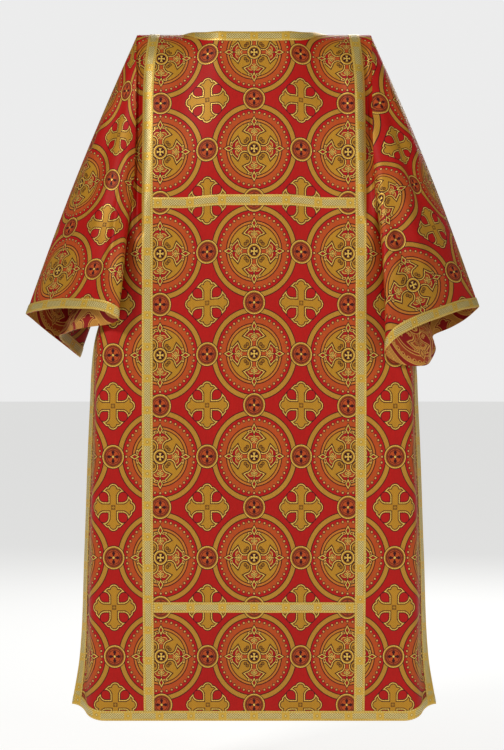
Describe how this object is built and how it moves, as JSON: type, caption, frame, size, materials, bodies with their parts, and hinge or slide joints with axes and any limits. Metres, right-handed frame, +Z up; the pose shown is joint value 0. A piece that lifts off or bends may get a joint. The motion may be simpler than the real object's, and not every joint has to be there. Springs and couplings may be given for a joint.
{
  "type": "dalmatic",
  "caption": "Wide-sleeved religious tunic in patterned brocade with braid bands, boat neck and open side slits, filled out as worn and hollow.",
  "frame": {"origin": "midway between the shoulders at their top, where the wearer holds the garment up", "axes": "+Z up, the front faces -Y, +X is to the right of someone looking at the front"},
  "size_m": [0.8804, 0.3226, 1.3268],
  "materials": {
    "brocade": "red and gold satin brocade with linked roundels and crosses",
    "galloon": "woven gold braid with a pale lattice, slight metallic sheen"
  },
  "bodies": {
    "root": {"front_panel": "brocade", "front_neck_galloon": "galloon", "front_hem_galloon": "galloon", "front_clavus_left": "galloon", "front_clavus_right": "galloon", "front_bar_upper": "galloon", "front_bar_lower": "galloon", "front_side_galloon_left": "galloon", "front_side_galloon_right": "galloon", "back_panel": "brocade", "back_neck_galloon": "galloon", "back_hem_galloon": "galloon", "back_clavus_left": "galloon", "back_clavus_right": "galloon", "back_bar_upper": "galloon", "back_bar_lower": "galloon", "back_side_galloon_left": "galloon", "back_side_galloon_right": "galloon", "sleeve_left": "brocade", "cuff_galloon_left": "galloon", "sleeve_right": "brocade", "cuff_galloon_right": "galloon"}
  },
  "joints": []
}
